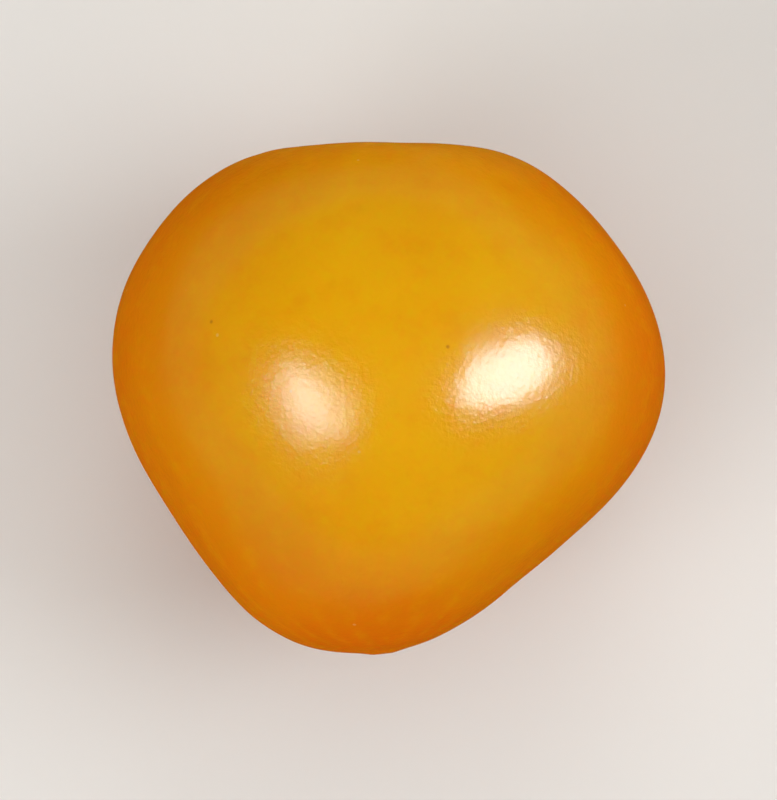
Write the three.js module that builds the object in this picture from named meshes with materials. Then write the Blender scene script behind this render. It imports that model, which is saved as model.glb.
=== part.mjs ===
// A ripe physalis berry, lying on its side on a small flat spot.
// Millimetres, Z up. The stem end faces +Y and the blossom end faces -Y.
import * as THREE from "three";
import { mergeVertices } from "three/addons/utils/BufferGeometryUtils.js";

// The body is a ball of this radius, swollen and flattened by the amounts below it.
const MEAN_RADIUS = 11.83;
const WIDTH_SWELL = 0.17; // wider across the stem axis than along it
const SHOULDER_SWELL = 0.32; // broad by the stem, tapering to the blossom end
const SQUARENESS = 0.28;
const STEM_FLATTENING = 0.07;
const FLANK_FLATTENING = 0.05;
const SIDE_PINCH = 0.48; // the taper is stronger from side to side than upright
const UPRIGHT_FULLNESS = 0.3; // rounder shoulders above and below than at the sides

// Unevenness from side to side: the +X shoulder sits lower than the -X one.
const SIDE_LEAN = 0.11;
const SHOULDER_SAG = 0.27;
const SIDE_SKEW = 0.18;
const TOP_LEAN = 0.1;

// Faint unevenness round the stem axis.
const OVAL_SWELL = 0.1;
const OVAL_TURN = 0.3;
const LOBE_SWELL = 0.06;
const LOBE_TURN = 1.8;

// Hollow round the stem scar, and the raised corky scar in the middle of it.
const DIMPLE_DEPTH = 1.65;
const DIMPLE_WIDTH = 4.0;
const SCAR_RADIUS = 2.5;
const SCAR_HEIGHT = 0.28;
const SCAR_EDGE = 0.18; // half width of its sloping edge, as a share of its radius
const SCAR_OVAL = 0.12;
const SCAR_LOBES = 0.05;
const NOTCH_DEPTH = 0.16;
const NOTCH_AT = -1.7;
const NOTCH_WIDTH = 0.3;
const PIT_DEPTH = 0.62;
const PIT_INNER = 0.1; // as shares of the scar's radius
const PIT_OUTER = 0.7;

// Blossom end: a small nub in a shallow hollow.
const NUB_HEIGHT = 0.18;
const NUB_WIDTH = 0.8;
const NUB_HOLLOW_DEPTH = 0.14;
const NUB_HOLLOW_WIDTH = 1.9;

// Rest: the stem end rises a little, which brings the weight over the flat spot.
const STEM_RISE = THREE.MathUtils.degToRad(1.5);
const FLAT_DEPTH = 0.32;

// Mesh fineness, and how far its rings gather towards both ends and to the scar.
const DETAIL = 21;
const GATHER_ENDS = 0.42;
const GATHER_SCAR = 0.12;

function bump(distance, width) {
  return Math.exp(-((distance / width) ** 2));
}

function bodyRadius(polar, around) {
  const round =
    MEAN_RADIUS -
    WIDTH_SWELL * Math.cos(2 * polar) -
    SHOULDER_SWELL * Math.cos(3 * polar) +
    SQUARENESS * Math.cos(4 * polar) -
    STEM_FLATTENING * Math.cos(5 * polar) -
    FLANK_FLATTENING * Math.cos(6 * polar);
  const sideways =
    SIDE_LEAN * Math.sin(2 * polar) -
    SHOULDER_SAG * Math.sin(3 * polar) +
    SIDE_SKEW * Math.sin(4 * polar);
  const upward = TOP_LEAN * Math.sin(2 * polar);
  const pinch = SIDE_PINCH * Math.sin(polar) ** 2 * Math.cos(polar);
  const fullness = UPRIGHT_FULLNESS * Math.sin(2 * polar) ** 2;
  const oval = OVAL_SWELL * Math.sin(polar) ** 2;
  const lobes = LOBE_SWELL * Math.sin(polar) ** 3;
  return (
    round +
    sideways * Math.cos(around) +
    upward * Math.sin(around) +
    fullness * Math.sin(around) ** 2 +
    pinch * Math.cos(2 * around) +
    oval * Math.cos(2 * (around - OVAL_TURN)) +
    lobes * Math.cos(3 * (around - LOBE_TURN))
  );
}

// Distance from the middle of the scar to its edge, which is oval, lobed and notched.
function scarEdge(around) {
  const fromNotch = Math.atan2(
    Math.sin(around - NOTCH_AT),
    Math.cos(around - NOTCH_AT),
  );
  const share =
    1 +
    SCAR_OVAL * Math.cos(2 * around) +
    SCAR_LOBES * Math.cos(5 * around + 1) -
    NOTCH_DEPTH * bump(fromNotch, NOTCH_WIDTH);
  return SCAR_RADIUS * share;
}

function stemRelief(polar, around) {
  const distance = MEAN_RADIUS * polar;
  const share = distance / scarEdge(around);
  const raised =
    1 - THREE.MathUtils.smoothstep(share, 1 - SCAR_EDGE, 1 + SCAR_EDGE);
  const sunk = 1 - THREE.MathUtils.smoothstep(share, PIT_INNER, PIT_OUTER);
  return (
    SCAR_HEIGHT * raised -
    PIT_DEPTH * sunk -
    DIMPLE_DEPTH * bump(distance, DIMPLE_WIDTH)
  );
}

function blossomRelief(polar) {
  const distance = MEAN_RADIUS * (Math.PI - polar);
  return (
    NUB_HEIGHT * bump(distance, NUB_WIDTH) -
    NUB_HOLLOW_DEPTH * bump(distance, NUB_HOLLOW_WIDTH)
  );
}

// Moves one point of a unit ball to the skin of the berry.
function ontoSkin(point) {
  const even = Math.acos(THREE.MathUtils.clamp(point.y, -1, 1));
  const around = Math.atan2(point.z, point.x);
  const polar =
    even -
    (GATHER_ENDS / 2) * Math.sin(2 * even) -
    GATHER_SCAR * Math.sin(even);
  const radius =
    bodyRadius(polar, around) +
    stemRelief(polar, around) +
    blossomRelief(polar);
  point.set(
    radius * Math.sin(polar) * Math.cos(around),
    radius * Math.cos(polar),
    radius * Math.sin(polar) * Math.sin(around),
  );
}

// Calls change with each point in turn and stores what it has made of the point.
function eachPoint(geometry, change) {
  const positions = geometry.getAttribute("position");
  const point = new THREE.Vector3();
  for (let i = 0; i < positions.count; i += 1) {
    point.fromBufferAttribute(positions, i);
    change(point);
    positions.setXYZ(i, point.x, point.y, point.z);
  }
}

function unitBall() {
  const ball = new THREE.IcosahedronGeometry(1, DETAIL);
  ball.deleteAttribute("normal");
  ball.deleteAttribute("uv");
  return mergeVertices(ball);
}

// Presses the lowest cap of the body flat, so that it stays where it is laid.
function pressFlat(geometry) {
  geometry.computeBoundingBox();
  const level = geometry.boundingBox.min.z + FLAT_DEPTH;
  eachPoint(geometry, (point) => {
    point.z = Math.max(point.z, level);
  });
}

// Puts the middle of the underside of the geometry's box at the origin.
function standOnOrigin(geometry) {
  geometry.computeBoundingBox();
  const { min, max } = geometry.boundingBox;
  geometry.translate(-(min.x + max.x) / 2, -(min.y + max.y) / 2, -min.z);
}

function makeBerry() {
  const geometry = unitBall();
  eachPoint(geometry, ontoSkin);
  geometry.rotateX(STEM_RISE);
  pressFlat(geometry);
  standOnOrigin(geometry);
  geometry.computeVertexNormals();
  const skin = new THREE.MeshStandardMaterial({
    color: 0xdc9504,
    roughness: 0.32,
    metalness: 0,
  });
  const berry = new THREE.Mesh(geometry, skin);
  berry.name = "berry";
  return berry;
}

const physalis = new THREE.Group();
physalis.name = "physalis_berry";
physalis.add(makeBerry());

export default physalis;
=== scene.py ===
"""A ripe physalis berry lying on its side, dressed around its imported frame.

The berry is one grown body. Its shape follows the same named sizes as the part's
solid, in a node tree that adds the finer relief of the corky stem scar, the
blossom-end nub and the skin. The berry's sizes are in millimetres and angles are
in radians; the studio's lengths, like Blender's own, are in metres.
"""

import dataclasses
import logging
import math
from dataclasses import dataclass
from enum import Enum
from typing import Any, Mapping

import bpy
from mathutils import Matrix, Quaternion, Vector


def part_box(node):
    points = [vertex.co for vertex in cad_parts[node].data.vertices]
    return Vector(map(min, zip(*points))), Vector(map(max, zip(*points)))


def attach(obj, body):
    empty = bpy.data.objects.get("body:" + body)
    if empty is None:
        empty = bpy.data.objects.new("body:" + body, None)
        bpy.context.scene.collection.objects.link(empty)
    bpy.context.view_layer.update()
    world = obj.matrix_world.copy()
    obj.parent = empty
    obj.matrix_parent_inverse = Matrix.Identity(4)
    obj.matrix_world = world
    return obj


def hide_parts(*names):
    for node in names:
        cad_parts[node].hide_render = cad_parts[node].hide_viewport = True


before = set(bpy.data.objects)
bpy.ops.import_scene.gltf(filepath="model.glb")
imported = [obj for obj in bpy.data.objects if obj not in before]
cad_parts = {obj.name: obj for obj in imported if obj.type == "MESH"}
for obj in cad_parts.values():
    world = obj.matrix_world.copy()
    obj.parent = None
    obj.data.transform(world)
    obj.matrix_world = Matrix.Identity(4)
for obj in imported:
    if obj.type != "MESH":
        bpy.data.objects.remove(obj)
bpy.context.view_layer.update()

log = logging.getLogger("physalis")

MM = 0.001

# A noise texture keeps mostly within a quarter of its middle value.
NOISE_MIDDLE = 0.5
NOISE_GAIN = 4.0

Span = tuple[float, float]


class Mark(Enum):
    """Values stored at the skin's points for its finish to read."""

    FROM_SCAR = "from_scar"
    FROM_TIP = "from_tip"
    VEIN_COSINE = "vein_cosine"
    VEIN_SINE = "vein_sine"
    CORK = "cork"
    # Brown tissue in the scar's pit and strands, and painted shade in its crease, cracks and
    # hollows.
    CREVICE = "crevice"
    # The brown crease round the scar, with painted shadow at its -X side.
    BROWN_EDGE_AND_SHADOW = "brown_edge_and_shadow"
    # The collar's pale colour: partly its own pale skin, partly a painted highlight on its lip.
    COLLAR = "collar"


class Serves(Enum):
    """What a lamp is for, and its colour: the highlights, or the light on the body."""

    GLOSS = "#E6F7FF"
    BODY = "#FFFFFF"


# Nodes and the arithmetic that makes them.


def feed(tree: bpy.types.NodeTree, socket: bpy.types.NodeSocket, value: Any) -> None:
    """Gives an input socket its value, or links it.

    Args:
        tree: The node tree of the socket.
        socket: The input.
        value: A plain value, a field or an output socket.
    """
    if isinstance(value, Field):
        value = value.socket
    if isinstance(value, bpy.types.NodeSocket):
        tree.links.new(value, socket)
    else:
        socket.default_value = value


def add_node(
    tree: bpy.types.NodeTree,
    kind: str,
    inputs: Mapping[str | int, Any] | None = None,
    **settings: Any,
) -> bpy.types.Node:
    """Adds a node with its settings, input values and links.

    Args:
        tree: The node tree that the node joins.
        kind: Blender's name for the kind of node.
        inputs: A value, a field or an output socket for each input.
        settings: Properties of the node, such as its operation.

    Returns:
        The new node.
    """
    node = tree.nodes.new(kind)
    for name, value in settings.items():
        setattr(node, name, value)
    for key, value in (inputs or {}).items():
        feed(tree, node.inputs[key], value)
    return node


@dataclass(frozen=True)
class Field:
    """A number at every point of a surface, whose arithmetic adds nodes."""

    socket: bpy.types.NodeSocket

    def __add__(self, other: "Number") -> "Field":
        """Returns the sum."""
        return combine("ADD", self, other)

    def __radd__(self, other: "Number") -> "Field":
        """Returns the sum."""
        return combine("ADD", other, self)

    def __sub__(self, other: "Number") -> "Field":
        """Returns the difference."""
        return combine("SUBTRACT", self, other)

    def __rsub__(self, other: "Number") -> "Field":
        """Returns the difference."""
        return combine("SUBTRACT", other, self)

    def __mul__(self, other: "Number") -> "Field":
        """Returns the product."""
        return combine("MULTIPLY", self, other)

    def __rmul__(self, other: "Number") -> "Field":
        """Returns the product."""
        return combine("MULTIPLY", other, self)

    def __truediv__(self, other: "Number") -> "Field":
        """Returns the quotient."""
        return combine("DIVIDE", self, other)

    def __rtruediv__(self, other: "Number") -> "Field":
        """Returns the quotient."""
        return combine("DIVIDE", other, self)


Number = Field | float


def combine(operation: str, *values: Number, clamp: bool = False) -> Field:
    """Adds one piece of arithmetic to the tree of the fields among its values.

    Args:
        operation: Blender's name for the operation.
        values: Fields and plain numbers, at least one of them a field.
        clamp: Whether the result is kept between 0 and 1.

    Returns:
        The result.
    """
    tree = next(v.socket.id_data for v in values if isinstance(v, Field))
    inputs = dict(enumerate(values))
    node = add_node(tree, "ShaderNodeMath", inputs, operation=operation, use_clamp=clamp)
    return Field(node.outputs[0])


def larger(first: Number, second: Number) -> Field:
    """Returns the larger of two numbers at each point."""
    return combine("MAXIMUM", first, second)


def cosine(angle: Number) -> Field:
    """Returns the cosine of an angle in radians."""
    return combine("COSINE", angle)


def sine(angle: Number) -> Field:
    """Returns the sine of an angle in radians."""
    return combine("SINE", angle)


def halved(wave: Field) -> Field:
    """Returns a wave between -1 and 1 as one between 0 and 1."""
    return wave * 0.5 + 0.5


def at_least(least: Number, share: Field) -> Field:
    """Returns a share from 0 to 1 as one that runs from a least value to 1."""
    return least + (1.0 - least) * share


def hump(distance: Number, width: Number) -> Field:
    """Returns 1 at no distance, falling away smoothly over a width."""
    share = combine("DIVIDE", distance, width)
    return combine("EXPONENT", share * share * -1.0)


def eased(value: Field, start: Number, end: Number) -> Field:
    """Returns 0 before start and 1 after end, with a smooth rise between them."""
    share = combine("DIVIDE", value - start, end - start, clamp=True)
    return share * share * (3.0 - 2.0 * share)


def combine_vectors(
    tree: bpy.types.NodeTree, operation: str, *vectors: Any
) -> bpy.types.NodeSocket:
    """Adds one piece of vector arithmetic.

    Args:
        tree: The node tree.
        operation: Blender's name for the operation.
        vectors: Plain vectors and vector sockets.

    Returns:
        The resulting vector.
    """
    inputs = dict(enumerate(vectors))
    return add_node(tree, "ShaderNodeVectorMath", inputs, operation=operation).outputs[0]


def split(tree: bpy.types.NodeTree, vector: bpy.types.NodeSocket) -> list[Field]:
    """Returns the X, Y and Z parts of a vector."""
    return [Field(part) for part in add_node(tree, "ShaderNodeSeparateXYZ", {0: vector}).outputs]


def joined(tree: bpy.types.NodeTree, *parts: Number) -> bpy.types.NodeSocket:
    """Returns the vector that has the given X, Y and Z parts."""
    return add_node(tree, "ShaderNodeCombineXYZ", dict(enumerate(parts))).outputs[0]


def uneven(
    tree: bpy.types.NodeTree, place: bpy.types.NodeSocket, size: Number, detail: float
) -> Field:
    """Returns a height from about -1 to 1 whose lumps are about a size wide.

    Args:
        tree: The node tree.
        place: Where each point lies in the pattern.
        size: The width of a lump, in the units of the place.
        detail: How many finer layers of lumps it has.

    Returns:
        The height.
    """
    inputs = {"Vector": place, "Scale": 1.0 / size, "Detail": detail}
    node = add_node(tree, "ShaderNodeTexNoise", inputs)
    return (Field(node.outputs[0]) - NOISE_MIDDLE) * NOISE_GAIN


def blend(
    tree: bpy.types.NodeTree, share: Field, first: Any, second: Any
) -> bpy.types.NodeSocket:
    """Adds the node that blends two colours.

    Args:
        tree: The node tree.
        share: 0 for the first colour and 1 for the second.
        first: A linear colour or a socket.
        second: A linear colour or a socket.

    Returns:
        The blended colour's socket.
    """
    inputs = {0: share, 6: first, 7: second}
    node = add_node(tree, "ShaderNodeMix", inputs, data_type="RGBA", clamp_factor=True)
    return node.outputs[2]


# Sizes of the berry.


@dataclass(frozen=True)
class Sizes:
    """A group of named sizes that a node tree can take as its inputs."""

    def names(self) -> list[str]:
        """Returns the names of the sizes."""
        return [size.name for size in dataclasses.fields(self)]

    def linked(self, source: bpy.types.Node) -> "Sizes":
        """Returns the same sizes, read from the outputs of a node."""
        fields = {name: Field(source.outputs[label_of(name)]) for name in self.names()}
        return dataclasses.replace(self, **fields)


def label_of(name: str) -> str:
    """Returns the words that a node tree shows for a size's name."""
    return name.replace("_", " ").capitalize()


@dataclass(frozen=True)
class BodySizes(Sizes):
    """A ball of the mean radius, swollen and flattened by the other amounts."""

    mean_radius: Number = 11.83
    width_swell: Number = 0.17
    shoulder_swell: Number = 0.32
    squareness: Number = 0.28
    stem_flattening: Number = 0.07
    flank_flattening: Number = 0.05
    side_pinch: Number = 0.48
    upright_fullness: Number = 0.3
    side_lean: Number = 0.11
    shoulder_sag: Number = 0.27
    side_skew: Number = 0.18
    top_lean: Number = 0.1
    oval_swell: Number = 0.1
    oval_turn: Number = 0.3
    lobe_swell: Number = 0.06
    lobe_turn: Number = 1.8

    def radius(self, polar: Field, around: Field) -> Field:
        """Works out how far the smooth body reaches from its middle.

        Args:
            polar: The angle from the stem end.
            around: The angle round the stem axis, from the +X side.

        Returns:
            The distance in millimetres.
        """
        upright = (
            self.mean_radius
            - self.width_swell * cosine(2.0 * polar)
            - self.shoulder_swell * cosine(3.0 * polar)
            + self.squareness * cosine(4.0 * polar)
            - self.stem_flattening * cosine(5.0 * polar)
            - self.flank_flattening * cosine(6.0 * polar)
        )
        sideways = (
            self.side_lean * sine(2.0 * polar)
            - self.shoulder_sag * sine(3.0 * polar)
            + self.side_skew * sine(4.0 * polar)
        )
        upward = self.top_lean * sine(2.0 * polar)
        girth = sine(polar)
        pinch = self.side_pinch * girth * girth * cosine(polar)
        shoulders = sine(2.0 * polar)
        fullness = self.upright_fullness * shoulders * shoulders
        oval = self.oval_swell * girth * girth
        lobes = self.lobe_swell * girth * girth * girth
        return (
            upright
            + sideways * cosine(around)
            + upward * sine(around)
            + fullness * sine(around) * sine(around)
            + pinch * cosine(2.0 * around)
            + oval * cosine(2.0 * (around - self.oval_turn))
            + lobes * cosine(3.0 * (around - self.lobe_turn))
        )


@dataclass(frozen=True)
class ScarRelief:
    """The parts of the scar's relief, most of them from 0 to 1 at each point."""

    raised: Field
    sunk: Field
    ring: Field
    lumps: Field
    grain: Field
    cracks: Field
    strands: Field
    crease: Field
    collar: Field


@dataclass(frozen=True)
class ScarSizes(Sizes):
    """The hollow at the stem end and the raised, oval, lobed corky scar in it."""

    dimple_depth: Number = 1.65
    dimple_width: Number = 4.0
    scar_radius: Number = 2.5
    scar_height: Number = 0.28
    scar_edge: Number = 0.18
    scar_oval: Number = 0.12
    scar_lobes: Number = 0.05
    notch_depth: Number = 0.16
    notch_at: Number = -1.7
    notch_width: Number = 0.3
    pit_depth: Number = 0.62
    pit_inner: Number = 0.1
    pit_outer: Number = 0.7
    pattern_rise: Number = 0.1
    raggedness: Number = 0.04
    ring_swell: Number = 0.1
    ring_at: Number = 0.72
    ring_width: Number = 0.2
    lump_height: Number = 0.1
    lump_size: Number = 1.0
    grain_height: Number = 0.04
    grain_size: Number = 0.3
    crack_depth: Number = 0.16
    crack_size: Number = 0.9
    crack_width: Number = 0.13
    crack_outside_pit: Number = 0.2
    strand_depth: Number = 0.34
    strand_width: Number = 0.26
    strand_from_middle: Number = 0.7
    strand_drift: Number = 0.5
    strand_turn: Number = 0.5
    strand_least: Number = 0.45
    crease_depth: Number = 0.07
    crease_at: Number = 1.1
    crease_width: Number = 0.08
    collar_height: Number = 0.07
    collar_at: Number = 1.33
    collar_width: Number = 0.12
    pleat_count: Number = 40.0
    pleat_wander: Number = 5.0
    pleat_least: Number = 0.5
    brown_all_round: Number = 0.5
    # Painted shadow: the crease is painted browner at the -X side.
    painted_shadow_at_side: Number = 0.45
    brown_at_notch: Number = 0.5
    # How dark the cork gets: the pit and strands are brown tissue, the rest is painted shade in
    # recesses.
    dark_pit: Number = 0.3
    dark_strands: Number = 0.8
    dark_cracks: Number = 0.6
    painted_shade_between_lumps: Number = 0.3
    painted_shade_between_grains: Number = 0.15
    painted_shade_in_crease: Number = 0.8

    def relief(
        self, tree: bpy.types.NodeTree, from_scar: Field, from_tip: Field, around: Field
    ) -> ScarRelief:
        """Works out each part of the scar's relief.

        Args:
            tree: The node tree.
            from_scar: The distance from the scar's middle, over the skin.
            from_tip: The distance from the blossom end, over the skin.
            around: The angle round the stem axis.

        Returns:
            The parts of the relief.
        """
        across = from_scar * cosine(around)
        upward = from_scar * sine(around)
        spot = joined(tree, across, from_tip * self.pattern_rise, upward)
        lumps = uneven(tree, spot, self.lump_size, detail=1.0)
        winding = uneven(tree, spot, self.crack_size, detail=1.5)
        share = self.share(from_scar, around, lumps)
        sunk = 1.0 - eased(share, self.pit_inner, self.pit_outer)
        return ScarRelief(
            raised=1.0 - eased(share, 1.0 - self.scar_edge, 1.0 + self.scar_edge),
            sunk=sunk,
            ring=hump(share - self.ring_at, self.ring_width),
            lumps=lumps,
            grain=uneven(tree, spot, self.grain_size, detail=2.0),
            cracks=hump(winding, self.crack_width) * at_least(self.crack_outside_pit, sunk),
            strands=self.strands(from_scar, around),
            crease=hump(share - self.crease_at, self.crease_width),
            collar=self.collar(share, around, lumps),
        )

    def share(self, distance: Field, around: Field, ragged: Field) -> Field:
        """Returns the distance from the scar's middle as a share of its reach."""
        reach = self.scar_radius * (
            1.0
            + self.scar_oval * cosine(2.0 * around)
            + self.scar_lobes * cosine(5.0 * around + 1.0)
            - self.notch_depth * self.notch(around)
            + self.raggedness * ragged
        )
        return distance / reach

    def notch(self, around: Field) -> Field:
        """Returns 1 where the scar's edge is notched."""
        past = around - self.notch_at
        return hump(combine("ARCTAN2", sine(past), cosine(past)), self.notch_width)

    def strands(self, distance: Field, around: Field) -> Field:
        """Returns the three holes that torn strands left in the pit, one of them larger."""
        toward_larger = cosine(around)
        nearest = halved(cosine(3.0 * around + self.strand_turn))
        from_ring = distance - self.strand_from_middle * (1.0 + self.strand_drift * toward_larger)
        depth = at_least(self.strand_least, halved(toward_larger))
        return hump(from_ring, self.strand_width) * nearest * nearest * depth

    def collar(self, share: Field, around: Field, ragged: Field) -> Field:
        """Returns the thin pleated collar of skin outside the scar, higher at the top."""
        pleats = halved(cosine(self.pleat_count * around + ragged * self.pleat_wander))
        ridge = hump(share - self.collar_at, self.collar_width)
        return ridge * at_least(self.pleat_least, pleats) * halved(sine(around))

    def height(self, relief: ScarRelief, from_scar: Field) -> Field:
        """Returns the height of the scar and its hollow over the smooth body.

        Args:
            relief: The parts of the scar's relief.
            from_scar: The distance from the scar's middle, over the skin.

        Returns:
            The height in millimetres.
        """
        bark = (
            self.ring_swell * relief.ring
            + self.lump_height * relief.lumps
            + self.grain_height * relief.grain
            - self.crack_depth * relief.cracks
            - self.strand_depth * relief.strands
        )
        return (
            self.scar_height * relief.raised
            - self.pit_depth * relief.sunk
            - self.dimple_depth * hump(from_scar, self.dimple_width)
            + bark * relief.raised
            - self.crease_depth * relief.crease
            + self.collar_height * relief.collar
        )

    def crevice(self, relief: ScarRelief) -> Field:
        """Returns how dark the cork is, from 0 to 1: brown tissue in the pit, strands and cracks,
        and painted shade in the crease, the cracks and between the lumps and grains.
        """
        bark = (
            relief.sunk * self.dark_pit
            + relief.strands * self.dark_strands
            + relief.cracks * self.dark_cracks
            - relief.lumps * self.painted_shade_between_lumps
            - relief.grain * self.painted_shade_between_grains
        )
        return combine("MAXIMUM", bark, relief.crease * self.painted_shade_in_crease, clamp=True)

    def brown_edge_and_shadow(self, relief: ScarRelief, around: Field) -> Field:
        """Returns how brown the crease is: brown all round and at the notch, with painted shadow
        added at the -X side.
        """
        return relief.crease * (
            self.brown_all_round
            - self.painted_shadow_at_side * cosine(around)
            + self.brown_at_notch * self.notch(around)
        )


@dataclass(frozen=True)
class NubSizes(Sizes):
    """The small nub in its shallow hollow at the blossom end."""

    nub_height: Number = 0.18
    nub_width: Number = 0.8
    nub_hollow_depth: Number = 0.14
    nub_hollow_width: Number = 1.9
    style_depth: Number = 0.12
    style_width: Number = 0.24

    def height(self, from_tip: Field) -> Field:
        """Returns the height of the nub and its hollow over the smooth body."""
        return (
            self.nub_height * hump(from_tip, self.nub_width)
            - self.nub_hollow_depth * hump(from_tip, self.nub_hollow_width)
            - self.style_depth * hump(from_tip, self.style_width)
        )


@dataclass(frozen=True)
class SkinSizes(Sizes):
    """The faint unevenness of the skin, and the pale veins that run from end to end."""

    ripple_height: Number = 0.07
    ripple_size: Number = 5.5
    calm_round_scar: Number = 5.0
    vein_count: Number = 22.0


@dataclass(frozen=True)
class RestSizes(Sizes):
    """How the berry lies: its stem end rises a little over a small flat spot."""

    stem_rise: Number = math.radians(1.5)
    flat_depth: Number = 0.32
    flat_softness: Number = 0.05


@dataclass(frozen=True)
class GridSizes(Sizes):
    """How the rows of faces gather towards both ends and the scar."""

    gather_ends: Number = 0.42
    gather_scar: Number = 0.12


# Finishes.


def linear(colour: str) -> tuple[float, float, float, float]:
    """Turns an sRGB hex colour into the linear colour that shaders use.

    Args:
        colour: Six hex digits after a hash.

    Returns:
        Red, green, blue and alpha.
    """
    parts = [int(colour[start : start + 2], 16) / 255.0 for start in (1, 3, 5)]
    red, green, blue = [
        part / 12.92 if part <= 0.04045 else ((part + 0.055) / 1.055) ** 2.4 for part in parts
    ]
    return (red, green, blue, 1.0)


def cells_per_metre(size: float) -> float:
    """Returns the texture scale that makes a pattern's cells a size in millimetres."""
    return 1.0 / (size * MM)


@dataclass(frozen=True)
class Pattern:
    """An uneven pattern: its patches' width in millimetres, and its finer layers."""

    size: float
    detail: float = 2.0
    roughness: float = 0.5


@dataclass(frozen=True)
class Spots:
    """Small round spots in millimetres, the share of places that have one, and its strength."""

    spacing: float
    radius: float
    share: float
    strength: float


class Paint:
    """The nodes of one material, with its surface shader ready to be linked."""

    def __init__(self, name: str) -> None:
        """Makes an empty material with an output and a surface shader."""
        self.material = bpy.data.materials.new(name)
        self.material.use_nodes = True
        self.tree = self.material.node_tree
        self.tree.nodes.clear()
        self.shader = add_node(self.tree, "ShaderNodeBsdfPrincipled")
        surface = {"Surface": self.shader.outputs["BSDF"]}
        add_node(self.tree, "ShaderNodeOutputMaterial", surface)
        self.place = add_node(self.tree, "ShaderNodeTexCoord").outputs["Object"]

    def mark(self, mark: Mark) -> Field:
        """Returns a value that the mesh stores at its points."""
        node = add_node(self.tree, "ShaderNodeAttribute", attribute_name=mark.value)
        return Field(node.outputs["Fac"])

    def along(self, axis: int) -> Field:
        """Returns each point's place along X, Y or Z (0, 1 or 2), in millimetres."""
        return split(self.tree, self.place)[axis] / MM

    def noise(self, pattern: Pattern) -> Field:
        """Returns an uneven value between about 0 and 1."""
        inputs = {
            "Vector": self.place,
            "Scale": cells_per_metre(pattern.size),
            "Detail": pattern.detail,
            "Roughness": pattern.roughness,
        }
        return Field(add_node(self.tree, "ShaderNodeTexNoise", inputs).outputs["Fac"])

    def spotted(self, spots: Spots) -> Field:
        """Returns the strength of the spots, which falls softly to 0 at each one's edge."""
        inputs = {"Vector": self.place, "Scale": cells_per_metre(spots.spacing)}
        node = add_node(self.tree, "ShaderNodeTexVoronoi", inputs)
        edge = spots.radius / spots.spacing
        near = 1.0 - eased(Field(node.outputs["Distance"]), edge / 2.0, edge)
        chance = add_node(self.tree, "ShaderNodeSeparateColor", {"Color": node.outputs["Color"]})
        chosen = combine("LESS_THAN", Field(chance.outputs["Red"]), spots.share)
        return near * chosen * spots.strength

    def mix(
        self,
        share: Field,
        below: str | bpy.types.NodeSocket,
        above: str | bpy.types.NodeSocket,
    ) -> bpy.types.NodeSocket:
        """Blends two colours.

        Args:
            share: 0 for the first colour and 1 for the second.
            below: The first colour, as a hex string or a socket.
            above: The second colour, as a hex string or a socket.

        Returns:
            The blended colour's socket.
        """
        first, second = [linear(c) if isinstance(c, str) else c for c in (below, above)]
        return blend(self.tree, share, first, second)

    def set(self, **values: Any) -> None:
        """Sets or links inputs of the surface shader, named with underscores."""
        for name, value in values.items():
            feed(self.tree, self.shader.inputs[name.replace("_", " ")], value)

    def bump(self, height: Field) -> None:
        """Lets a height in millimetres roughen the surface."""
        inputs = {"Height": height * MM, "Distance": 1.0, "Strength": 1.0}
        self.set(Normal=add_node(self.tree, "ShaderNodeBump", inputs).outputs["Normal"])


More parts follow.
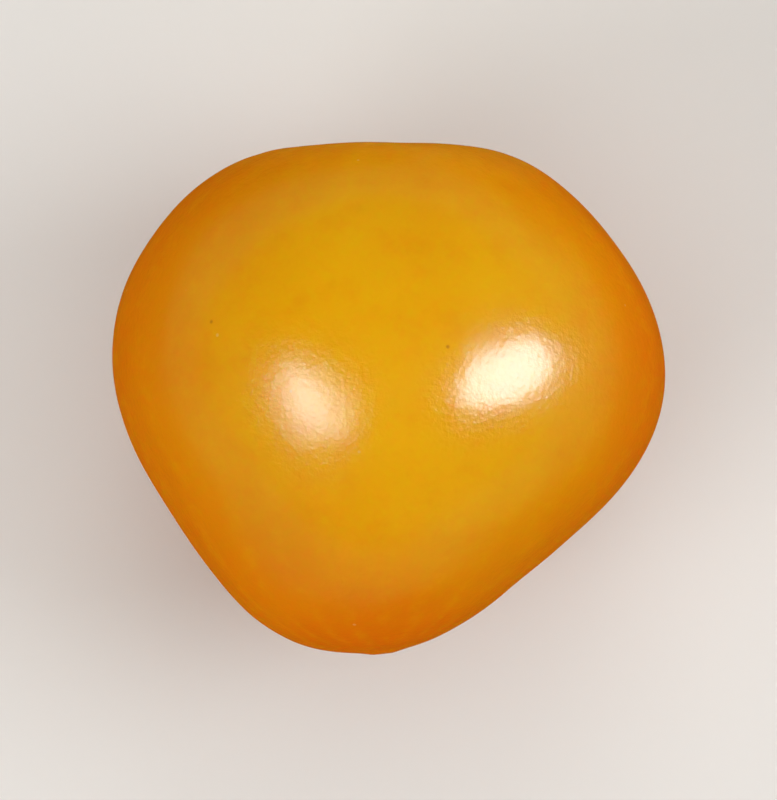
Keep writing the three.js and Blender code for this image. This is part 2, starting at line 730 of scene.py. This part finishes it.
@dataclass(frozen=True)
class BerrySkin:
    """Ripe physalis skin: a thin, taut, waxy cuticle over translucent flesh.

    The wax gives a clear but soft-edged gloss, and the flesh under it glows orange.
    Round the stem scar the skin stays pale yellow, and the scar is dry pale cork.
    A range says where the blend into a colour starts and ends, a share says how
    strong that colour gets, and a wander says how far the clouds shift the blend.
    Lengths are in millimetres.
    """

    ripe: str = "#E7AF00"
    deep: str = "#DD7100"
    golden: str = "#ECBC0A"
    halo: str = "#E5C844"
    halo_edge: str = "#E6B028"
    fleck: str = "#A8620F"
    wax_grain: str = "#F2DB9C"
    # Pale collar colour, partly a painted highlight on the lip above the scar.
    collar: str = "#EBD47A"
    # The crease's brown, also used for painted shadow at its -X side.
    brown_edge_and_shadow: str = "#A26826"
    cork: str = "#EBD0A0"
    cork_pink: str = "#E4BE8C"
    cork_warm: str = "#C4945A"
    cork_dark: str = "#7A4A1C"
    style: str = "#B5762A"

    clouds: Pattern = Pattern(6.5)
    fine: Pattern = Pattern(0.9, detail=3.0, roughness=0.6)
    golden_range: Span = (0.3, 0.7)
    golden_share: float = 0.35
    mottling: Pattern = Pattern(1.7, detail=3.0, roughness=0.6)
    mottling_range: Span = (0.45, 0.75)
    mottling_share: float = 0.14

    tip_range: Span = (4.0, 17.0)
    tip_wander: float = 5.0
    # Painted shade: below this height the skin is painted deeper orange, most towards its rim and
    # underside.
    painted_shade_below: float = 25.7
    painted_shade_depth: float = 6.0
    painted_shade_share: float = 0.84
    painted_shade_slope: float = 0.1
    painted_shade_wander: float = 3.0
    # Painted shade on the +X side: the skin there is painted deeper orange, as shadow along that
    # edge.
    painted_right_shade_range: Span = (10.0, 15.0)
    painted_right_shade_share: float = 0.75
    painted_right_shade_wander: float = 4.0

    vein_range: Span = (0.35, 0.75)
    vein_share: float = 0.16
    vein_wander: float = 9.0

    halo_edge_range: Span = (3.6, 9.0)
    halo_range: Span = (2.6, 6.2)
    halo_wander: float = 6.0
    halo_raggedness: float = 2.4
    # How strongly the collar's pale colour and painted highlight show.
    pale_collar_and_sheen_share: float = 1.5
    brown_range: Span = (0.2, 0.5)

    flecks: Spots = Spots(spacing=2.6, radius=0.15, share=0.12, strength=0.7)
    wax_grains: Spots = Spots(spacing=1.5, radius=0.1, share=0.35, strength=0.3)
    style_width: float = 0.42
    style_share: float = 0.85

    cork_patches: Pattern = Pattern(1.6)
    cork_patch_range: Span = (0.4, 0.6)
    cork_fine_range: Span = (0.45, 0.7)
    cork_fine_share: float = 0.6
    cork_warm_range: Span = (0.1, 0.45)
    cork_dark_range: Span = (0.4, 0.95)
    cork_range: Span = (0.25, 0.75)

    smears: Pattern = Pattern(3.0)
    pores: Pattern = Pattern(0.26, roughness=0.6)
    peel: Pattern = Pattern(1.3)
    roughness: float = 0.17
    smear_roughness: float = 0.06
    pore_roughness: float = 0.04
    cork_roughness: float = 0.82
    refraction: float = 1.45
    glow: float = 0.9
    glow_lost_in_cork: float = 0.8
    glow_reach: tuple[float, float, float] = (1.0, 0.15, 0.02)
    glow_depth: float = 8.0
    wax: float = 0.5
    wax_roughness: float = 0.15
    wax_refraction: float = 1.42
    pore_height: float = 0.022
    peel_height: float = 0.03
    cork_pore_height: float = 0.06

    def ripened(self, paint: Paint, clouds: Field) -> bpy.types.NodeSocket:
        """Builds the colour of the ripe skin, deeper at its blossom end, with painted shade that
        deepens the orange towards its sides, underside and +X side.

        Args:
            paint: The material's nodes.
            clouds: The wide uneven pattern.

        Returns:
            The colour's socket.
        """
        right, up = paint.along(0), paint.along(2)
        golden = eased(clouds, *self.golden_range) * self.golden_share
        mottling = eased(paint.noise(self.mottling), *self.mottling_range) * self.mottling_share
        from_tip = paint.mark(Mark.FROM_TIP) + clouds * self.tip_wander
        at_tip = 1.0 - eased(from_tip, *self.tip_range)
        # Painted shade: deeper orange lower down and further from the top.
        under_top = self.painted_shade_below - up - right * self.painted_shade_slope - clouds * self.painted_shade_wander
        painted_side_shade = (1.0 - hump(larger(under_top, 0.0), self.painted_shade_depth)) * self.painted_shade_share
        # Painted shade on the +X side.
        painted_right_shade = eased(right + clouds * self.painted_right_shade_wander, *self.painted_right_shade_range) * self.painted_right_shade_share
        # Both painted shades together.
        painted_edge_shade = 1.0 - (1.0 - painted_side_shade) * (1.0 - painted_right_shade)
        skin = paint.mix(golden, self.ripe, self.golden)
        skin = paint.mix(mottling, skin, self.deep)
        return paint.mix(larger(at_tip, painted_edge_shade), skin, self.deep)

    def veins(self, paint: Paint, clouds: Field) -> Field:
        """Returns 1 along the winding veins and 0 midway between them."""
        wander = clouds * self.vein_wander
        wave = paint.mark(Mark.VEIN_COSINE) * cosine(wander)
        ridge = halved(wave - paint.mark(Mark.VEIN_SINE) * sine(wander))
        return ridge * ridge

    def bark(self, paint: Paint, fine: Field) -> bpy.types.NodeSocket:
        """Builds the colour of the scar's cork, brown in the pit and strands, with painted shade in
        its crease, cracks and hollows.

        Args:
            paint: The material's nodes.
            fine: The fine uneven pattern.

        Returns:
            The colour's socket.
        """
        crevice = paint.mark(Mark.CREVICE)
        patches = eased(paint.noise(self.cork_patches), *self.cork_patch_range)
        warm = eased(fine, *self.cork_fine_range) * self.cork_fine_share
        bark = paint.mix(patches, self.cork, self.cork_pink)
        bark = paint.mix(warm, bark, self.cork_warm)
        # Browner and darker where the cork is brown tissue or painted shade.
        bark = paint.mix(eased(crevice, *self.cork_warm_range), bark, self.cork_warm)
        return paint.mix(eased(crevice, *self.cork_dark_range), bark, self.cork_dark)

    def colour(self, paint: Paint) -> bpy.types.NodeSocket:
        """Builds the colour of the skin and the cork.

        Args:
            paint: The material's nodes.

        Returns:
            The colour's socket.
        """
        clouds = paint.noise(self.clouds)
        fine = paint.noise(self.fine)
        shift = (clouds - NOISE_MIDDLE) * self.halo_wander
        shift = shift + (fine - NOISE_MIDDLE) * self.halo_raggedness
        from_scar = paint.mark(Mark.FROM_SCAR) + shift
        veins = self.veins(paint, clouds) * eased(fine, *self.vein_range) * self.vein_share
        style = hump(paint.mark(Mark.FROM_TIP), self.style_width) * self.style_share
        browned_and_shaded = paint.mark(Mark.BROWN_EDGE_AND_SHADOW) * eased(fine, *self.brown_range)
        skin = self.ripened(paint, clouds)
        skin = paint.mix(veins, skin, self.golden)
        skin = paint.mix(1.0 - eased(from_scar, *self.halo_edge_range), skin, self.halo_edge)
        skin = paint.mix(1.0 - eased(from_scar, *self.halo_range), skin, self.halo)
        skin = paint.mix(paint.spotted(self.flecks), skin, self.fleck)
        skin = paint.mix(paint.spotted(self.wax_grains), skin, self.wax_grain)
        skin = paint.mix(style, skin, self.style)
        # Pale collar above the scar: partly its own pale skin, partly a painted highlight.
        skin = paint.mix(paint.mark(Mark.COLLAR) * self.pale_collar_and_sheen_share, skin, self.collar)
        # Brown crease, partly painted shadow at the -X side.
        skin = paint.mix(browned_and_shaded, skin, self.brown_edge_and_shadow)
        cork = eased(paint.mark(Mark.CORK), *self.cork_range)
        return paint.mix(cork, skin, self.bark(paint, fine))

    def material(self) -> bpy.types.Material:
        """Builds the material."""
        paint = Paint("waxy_physalis_skin")
        cork = paint.mark(Mark.CORK)
        smears = paint.noise(self.smears)
        pores = paint.noise(self.pores)
        peel = paint.noise(self.peel)
        waxy = self.roughness + smears * self.smear_roughness + pores * self.pore_roughness
        paint.set(
            Base_Color=self.colour(paint),
            Roughness=waxy * (1.0 - cork) + cork * self.cork_roughness,
            IOR=self.refraction,
            Subsurface_Weight=self.glow - cork * self.glow_lost_in_cork,
            Subsurface_Radius=self.glow_reach,
            Subsurface_Scale=self.glow_depth * MM,
            Coat_Weight=self.wax - cork * self.wax,
            Coat_Roughness=self.wax_roughness,
            Coat_IOR=self.wax_refraction,
        )
        skin_height = pores * self.pore_height + peel * self.peel_height
        paint.bump(skin_height * (1.0 - cork) + pores * cork * self.cork_pore_height)
        return paint.material


@dataclass(frozen=True)
class StudioFloor:
    """Plain matt white laminate: even and pale, so that it only takes soft shadows."""

    pale: str = "#DEDCD8"
    paler: str = "#E3E1DE"
    clouds: Pattern = Pattern(60.0)
    roughness: float = 0.6

    def material(self) -> bpy.types.Material:
        """Builds the material."""
        paint = Paint("matt_white_laminate")
        tone = paint.mix(paint.noise(self.clouds), self.pale, self.paler)
        paint.set(Base_Color=tone, Roughness=self.roughness)
        return paint.material


# The berry.


@dataclass(frozen=True)
class Berry:
    """The whole berry, one grown body from its stem scar to its blossom end."""

    body: BodySizes = BodySizes()
    scar: ScarSizes = ScarSizes()
    nub: NubSizes = NubSizes()
    skin: SkinSizes = SkinSizes()
    rest: RestSizes = RestSizes()
    grid: GridSizes = GridSizes()
    finish: BerrySkin = BerrySkin()
    rows: int = 129
    name: str = "berry_skin"

    def parts(self) -> dict[str, Sizes]:
        """Returns the groups of sizes by name."""
        names = ("body", "scar", "nub", "skin", "rest", "grid")
        return {name: getattr(self, name) for name in names}

    def build(self) -> bpy.types.Object:
        """Grows the berry as a plain mesh, with its finish on it.

        Returns:
            The finished piece.
        """
        tree = bpy.data.node_groups.new("physalis_shape", "GeometryNodeTree")
        face = tree.interface
        face.new_socket("Geometry", in_out="OUTPUT", socket_type="NodeSocketGeometry")
        rows = face.new_socket("Rows", in_out="INPUT", socket_type="NodeSocketInt")
        values = {rows.identifier: self.rows}
        for sizes in self.parts().values():
            for name in sizes.names():
                label = label_of(name)
                socket = face.new_socket(label, in_out="INPUT", socket_type="NodeSocketFloat")
                values[socket.identifier] = getattr(sizes, name)
        source = add_node(tree, "NodeGroupInput")
        linked = {name: sizes.linked(source) for name, sizes in self.parts().items()}
        self.grow(tree, source, dataclasses.replace(self, **linked))
        piece = bpy.data.objects.new(self.name, bpy.data.meshes.new(self.name))
        bpy.context.scene.collection.objects.link(piece)
        modifier = piece.modifiers.new("Shape", "NODES")
        modifier.node_group = tree
        for identifier, value in values.items():
            modifier[identifier] = value
        make_plain(piece)
        return piece

    def grow(self, tree: bpy.types.NodeTree, source: bpy.types.Node, sized: "Berry") -> None:
        """Adds the nodes that shape the berry.

        Args:
            tree: The node tree.
            source: The node that holds the tree's inputs.
            sized: This berry with its sizes read from that node.
        """
        sides = {f"Vertices {axis}": source.outputs["Rows"] for axis in "XYZ"}
        sides["Size"] = (2.0, 2.0, 2.0)
        geometry = add_node(tree, "GeometryNodeMeshCube", sides).outputs["Mesh"]
        polar, around, direction = sized.angles(tree)
        marks, radius = sized.surface(tree, polar, around, direction)
        for mark, value in marks.items():
            stored = {"Geometry": geometry, "Name": mark.value, "Value": value}
            node = add_node(tree, "GeometryNodeStoreNamedAttribute", stored, data_type="FLOAT")
            geometry = node.outputs["Geometry"]
        girth = radius * sine(polar)
        spot = joined(
            tree,
            girth * cosine(around) * MM,
            radius * cosine(polar) * MM,
            girth * sine(around) * MM,
        )
        turn = {"Vector": spot, "Angle": sized.rest.stem_rise}
        leaned = add_node(tree, "ShaderNodeVectorRotate", turn, rotation_type="X_AXIS")
        geometry = moved(tree, geometry, Position=leaned.outputs[0])
        geometry = sized.pressed(tree, geometry)
        geometry = stood_on_origin(tree, geometry)
        smooth = add_node(tree, "GeometryNodeSetShadeSmooth", {0: geometry})
        whole = add_node(tree, "GeometryNodeRealizeInstances", {0: smooth.outputs[0]})
        dressed = {"Geometry": whole.outputs[0], "Material": self.finish.material()}
        geometry = add_node(tree, "GeometryNodeSetMaterial", dressed).outputs["Geometry"]
        add_node(tree, "NodeGroupOutput", {"Geometry": geometry})

    def angles(self, tree: bpy.types.NodeTree) -> tuple[Field, Field, bpy.types.NodeSocket]:
        """Turns a cube's points into even directions from the berry's middle.

        Args:
            tree: The node tree.

        Returns:
            The angle from the stem end, the angle round the stem axis, and the
            direction as a vector.
        """
        place = add_node(tree, "GeometryNodeInputPosition").outputs[0]
        scaled = combine_vectors(tree, "MULTIPLY", place, (math.pi / 4.0,) * 3)
        even = combine_vectors(tree, "TANGENT", scaled)
        direction = combine_vectors(tree, "NORMALIZE", even)
        right, stemward, up = split(tree, direction)
        slope = combine("ARCTAN2", combine("SQRT", right * right + up * up), stemward)
        gathered = self.grid.gather_ends * 0.5 * sine(2.0 * slope)
        gathered = gathered + self.grid.gather_scar * sine(slope)
        return slope - gathered, combine("ARCTAN2", up, right), direction

    def surface(
        self, tree: bpy.types.NodeTree, polar: Field, around: Field, direction: bpy.types.NodeSocket
    ) -> tuple[dict[Mark, Field], Field]:
        """Works out the skin's reach and the marks that its finish reads.

        Args:
            tree: The node tree.
            polar: The angle from the stem end.
            around: The angle round the stem axis.
            direction: The direction from the berry's middle.

        Returns:
            The marks, and the distance from the middle in millimetres.
        """
        reach = self.body.mean_radius
        from_scar = reach * polar
        from_tip = reach * (math.pi - polar)
        scar = self.scar.relief(tree, from_scar, from_tip, around)
        ripple = uneven(tree, direction, self.skin.ripple_size / reach, detail=1.0)
        fades = 1.0 - hump(from_scar, self.skin.calm_round_scar)
        radius = (
            self.body.radius(polar, around)
            + self.scar.height(scar, from_scar)
            + self.nub.height(from_tip)
            + self.skin.ripple_height * ripple * fades
        )
        marks = {
            Mark.FROM_SCAR: from_scar,
            Mark.FROM_TIP: from_tip,
            Mark.VEIN_COSINE: cosine(self.skin.vein_count * around),
            Mark.VEIN_SINE: sine(self.skin.vein_count * around),
            Mark.CORK: scar.raised,
            Mark.CREVICE: self.scar.crevice(scar),
            Mark.BROWN_EDGE_AND_SHADOW: self.scar.brown_edge_and_shadow(scar, around),
            Mark.COLLAR: scar.collar,
        }
        return marks, radius

    def pressed(
        self, tree: bpy.types.NodeTree, geometry: bpy.types.NodeSocket
    ) -> bpy.types.NodeSocket:
        """Presses the lowest cap flat, with a soft edge.

        Args:
            tree: The node tree.
            geometry: The leaned body.

        Returns:
            The body with its flat spot.
        """
        place = add_node(tree, "GeometryNodeInputPosition").outputs[0]
        right, stemward, up = split(tree, place)
        heights = {"Geometry": geometry, "Attribute": up}
        lowest = add_node(tree, "GeometryNodeAttributeStatistic", heights).outputs["Min"]
        level = Field(lowest) + self.rest.flat_depth * MM
        soft = self.rest.flat_softness * MM
        over = larger(up - level + soft, 0.0)
        bent = level + over * over / (soft * 4.0)
        clear = combine("GREATER_THAN", up - level, soft)
        height = combine("MULTIPLY_ADD", clear, up - bent, bent)
        return moved(tree, geometry, Position=joined(tree, right, stemward, height))


def moved(
    tree: bpy.types.NodeTree, geometry: bpy.types.NodeSocket, **change: bpy.types.NodeSocket
) -> bpy.types.NodeSocket:
    """Moves the points of a geometry.

    Args:
        tree: The node tree.
        geometry: The geometry.
        change: Each point's new Position, or an Offset from its old one.

    Returns:
        The moved geometry.
    """
    inputs = {"Geometry": geometry, **change}
    return add_node(tree, "GeometryNodeSetPosition", inputs).outputs["Geometry"]


def stood_on_origin(
    tree: bpy.types.NodeTree, geometry: bpy.types.NodeSocket
) -> bpy.types.NodeSocket:
    """Puts the middle of the underside of a geometry's box at the origin.

    Args:
        tree: The node tree.
        geometry: The geometry.

    Returns:
        The moved geometry.
    """
    box = add_node(tree, "GeometryNodeBoundBox", {"Geometry": geometry})
    low = split(tree, box.outputs["Min"])
    high = split(tree, box.outputs["Max"])
    sideways, lengthways = [(low[axis] + high[axis]) * -0.5 for axis in (0, 1)]
    return moved(tree, geometry, Offset=joined(tree, sideways, lengthways, low[2] * -1.0))


def make_plain(piece: bpy.types.Object) -> None:
    """Turns a piece's modifiers into its own mesh and removes them.

    Args:
        piece: The object that carries the modifiers.
    """
    graph = bpy.context.evaluated_depsgraph_get()
    grown = piece.evaluated_get(graph)
    mesh = bpy.data.meshes.new_from_object(grown, preserve_all_data_layers=True, depsgraph=graph)
    mesh.name = piece.name
    piece.modifiers.clear()
    piece.data = mesh


# The studio.


@dataclass(frozen=True)
class Lamp:
    """One soft light, aimed at the middle of the berry and turned about that aim."""

    name: str
    serves: Serves
    towards: tuple[float, float, float]
    width: float
    height: float
    radiance: float
    roll: float = 0.0
    distance: float = 0.5

    def build(self, target: Vector) -> None:
        """Places the light.

        Args:
            target: The point that it is aimed at, in metres.
        """
        data = bpy.data.lights.new(self.name, "AREA")
        data.shape = "ELLIPSE"
        data.size = self.width
        data.size_y = self.height
        data.color = linear(self.serves.value)[:3]
        area = math.pi / 4.0 * self.width * self.height
        data.energy = self.radiance * math.pi * area
        lamp = bpy.data.objects.new(self.name, data)
        direction = Vector(self.towards).normalized()
        turn = direction.to_track_quat("Z", "Y") @ Quaternion((0.0, 0.0, 1.0), self.roll)
        lamp.matrix_world = Matrix.LocRotScale(target + direction * self.distance, turn, None)
        lamp.visible_glossy = self.serves is Serves.GLOSS
        lamp.visible_diffuse = self.serves is Serves.BODY
        bpy.context.scene.collection.objects.link(lamp)


RIGHT_ROLL = math.radians(45.0)
LEFT_ROLL = math.radians(-8.0)
RIGHT_AIM = (0.8, -0.05, 0.6)

GLOSS_LAMPS = (
    Lamp("right_card", Serves.GLOSS, RIGHT_AIM, 0.26, 0.44, 14.5, RIGHT_ROLL),
    Lamp("right_veil", Serves.GLOSS, RIGHT_AIM, 0.36, 0.57, 1.2, RIGHT_ROLL),
    Lamp("left_veil", Serves.GLOSS, (-0.57, -0.34, 0.78), 0.45, 0.4, 2.0, LEFT_ROLL),
    Lamp("left_card", Serves.GLOSS, (-0.55, -0.345, 0.78), 0.37, 0.24, 3.4, LEFT_ROLL),
    Lamp("left_core", Serves.GLOSS, (-0.54, -0.325, 0.78), 0.28, 0.12, 5.0, LEFT_ROLL),
)
BODY_LAMPS = (
    Lamp("overhead_scrim", Serves.BODY, (0.05, 0.1, 1.0), 4.0, 4.0, 1.1, distance=3.0),
    Lamp("right_softbox", Serves.BODY, (0.7, 0.0, 0.6), 0.3, 0.3, 3.4),
    Lamp("left_softbox", Serves.BODY, (-0.7, -0.5, 0.5), 0.3, 0.3, 4.0),
    Lamp("back_softbox", Serves.BODY, (0.1, 0.85, 0.5), 0.3, 0.3, 2.0),
    Lamp("front_softbox", Serves.BODY, (0.3, -0.85, 0.5), 0.3, 0.3, 1.0),
)


@dataclass(frozen=True)
class Studio:
    """A pale floor, soft lights, and the photo's view from nearly straight above."""

    lamps: tuple[Lamp, ...] = GLOSS_LAMPS + BODY_LAMPS
    floor_finish: StudioFloor = StudioFloor()
    floor_size: float = 5.0
    sky: str = "#FFEEDA"
    sky_strength: float = 0.18
    sky_in_gloss: float = 0.05
    warmth_below: str = "#FF9018"
    warmth_strength: float = 0.45
    warmth_fades: Span = (-0.4, -0.03)
    horizon_glow: float = 0.16
    horizon_width: float = 0.08
    azimuth: float = math.radians(12.0)
    elevation: float = math.radians(86.0)
    distance: float = 0.55
    frame_height: float = 0.036
    sensor: float = 36.0

    def build(self, target: Vector) -> None:
        """Builds the floor, the lights and the camera.

        Args:
            target: The middle of the berry, in metres.
        """
        self.lay_floor()
        for lamp in self.lamps:
            lamp.build(target)
        self.light_room()
        bpy.context.scene.view_settings.view_transform = "Standard"
        self.point_camera(target)

    def light_room(self) -> None:
        """Surrounds the berry with a pale room that is warm below its horizon."""
        world = bpy.data.worlds.new("pale_room")
        world.use_nodes = True
        tree = world.node_tree
        place = add_node(tree, "ShaderNodeTexCoord").outputs["Generated"]
        up = split(tree, place)[2]
        above = eased(up, *self.warmth_fades)
        shade = blend(tree, above, linear(self.warmth_below), linear(self.sky))
        glossy = Field(add_node(tree, "ShaderNodeLightPath").outputs["Is Glossy Ray"])
        sky = self.sky_strength + glossy * (self.sky_in_gloss - self.sky_strength)
        strength = self.warmth_strength + above * (sky - self.warmth_strength)
        strength = strength + self.horizon_glow * hump(up, self.horizon_width)
        room = tree.nodes["Background"]
        feed(tree, room.inputs["Color"], shade)
        feed(tree, room.inputs["Strength"], strength)
        bpy.context.scene.world = world

    def lay_floor(self) -> None:
        """Lays the floor under the berry."""
        half = self.floor_size / 2.0
        corners = [(-half, -half, 0.0), (half, -half, 0.0), (half, half, 0.0), (-half, half, 0.0)]
        mesh = bpy.data.meshes.new("floor")
        mesh.from_pydata(corners, [], [(0, 1, 2, 3)])
        mesh.materials.append(self.floor_finish.material())
        floor = bpy.data.objects.new("floor", mesh)
        bpy.context.scene.collection.objects.link(floor)
        floor.visible_glossy = False

    def point_camera(self, target: Vector) -> None:
        """Points the camera at the berry.

        Args:
            target: The point in the middle of the picture, in metres.
        """
        data = bpy.data.cameras.new("camera")
        data.sensor_width = self.sensor
        data.lens = self.sensor * self.distance / self.frame_height
        camera = bpy.data.objects.new("camera", data)
        level = math.cos(self.elevation)
        across = math.sin(self.azimuth) * level
        nearer = -math.cos(self.azimuth) * level
        back = Vector((across, nearer, math.sin(self.elevation)))
        right = Vector((0.0, 1.0, 0.0)).cross(back).normalized()
        turn = Matrix((right, back.cross(right), back)).transposed()
        camera.matrix_world = Matrix.Translation(target + back * self.distance) @ turn.to_4x4()
        bpy.context.scene.collection.objects.link(camera)
        bpy.context.scene.camera = camera


def main() -> None:
    """Builds the berry and the studio, and ties the berry to its frame."""
    logging.basicConfig(level=logging.INFO, format="%(name)s: %(message)s")
    log.info("the frame's nodes: %s", list(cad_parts))
    berry = Berry()
    piece = berry.build()
    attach(piece, "root")
    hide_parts("berry")
    log.info("%s: %d faces", piece.name, len(piece.data.polygons))
    low, high = [Vector(corner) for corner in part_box("berry")]
    Studio().build((low + high) / 2.0)
    log.info("floor, lights and camera are in place")


if __name__ == "__main__":
    main()
